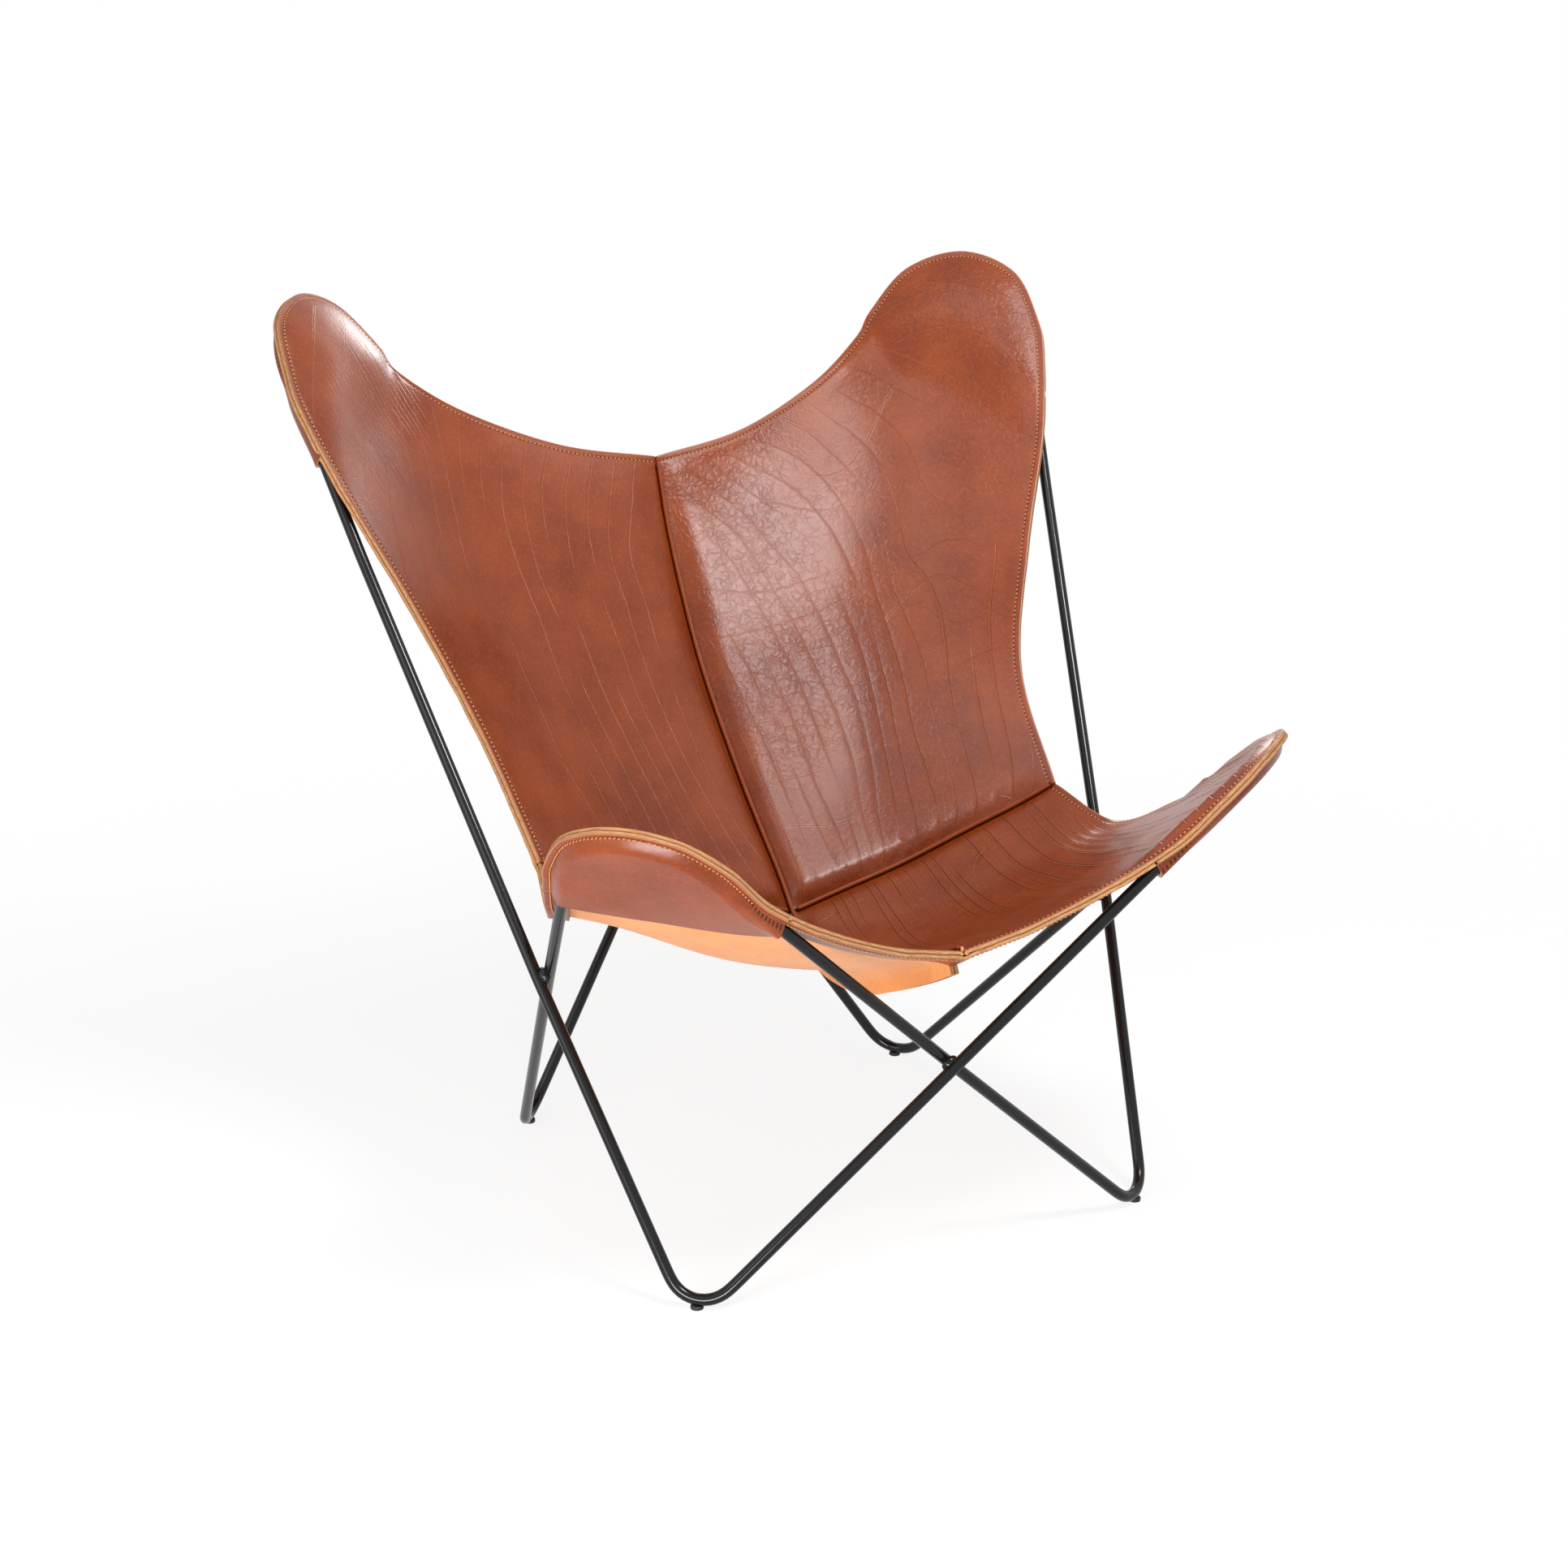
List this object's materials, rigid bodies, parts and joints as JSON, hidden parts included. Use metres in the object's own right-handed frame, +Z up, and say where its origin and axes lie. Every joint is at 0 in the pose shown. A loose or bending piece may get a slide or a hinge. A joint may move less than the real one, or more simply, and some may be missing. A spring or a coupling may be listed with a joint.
{
  "type": "butterfly sling chair",
  "caption": "Low lounge chair: a leather sling with pockets hangs on the tall and low tips of bent, welded steel rod loops.",
  "frame": {"origin": "on the floor, under the middle of the whole chair", "axes": "+Z up, the chair faces -Y, +X is on the right seen from the front"},
  "size_m": [0.9082, 0.8086, 0.9169],
  "materials": {
    "rod": "satin",
    "foot_pad": "matte",
    "leather": "smooth grain side, satin",
    "leather_flesh_side": "matte"
  },
  "bodies": {
    "root": {"rod_loop_a": "rod", "rod_loop_b": "rod", "weld_left": "rod", "weld_right": "rod", "weld_front": "rod", "weld_back": "rod", "foot_pad_front_left": "foot_pad", "foot_pad_front_right": "foot_pad", "foot_pad_back_right": "foot_pad", "foot_pad_back_left": "foot_pad", "back_panel_left": "leather", "back_panel_right": "leather", "seat_panel_left": "leather", "seat_panel_right": "leather", "back_pocket_left": "leather", "back_pocket_right": "leather", "front_pocket_left": "leather", "front_pocket_right": "leather", "edge_band_back": "leather_flesh_side", "edge_band_front": "leather_flesh_side", "edge_band_left": "leather_flesh_side", "edge_band_right": "leather_flesh_side", "piping_centre": "leather", "piping_cross_left": "leather", "piping_cross_right": "leather"}
  },
  "joints": []
}
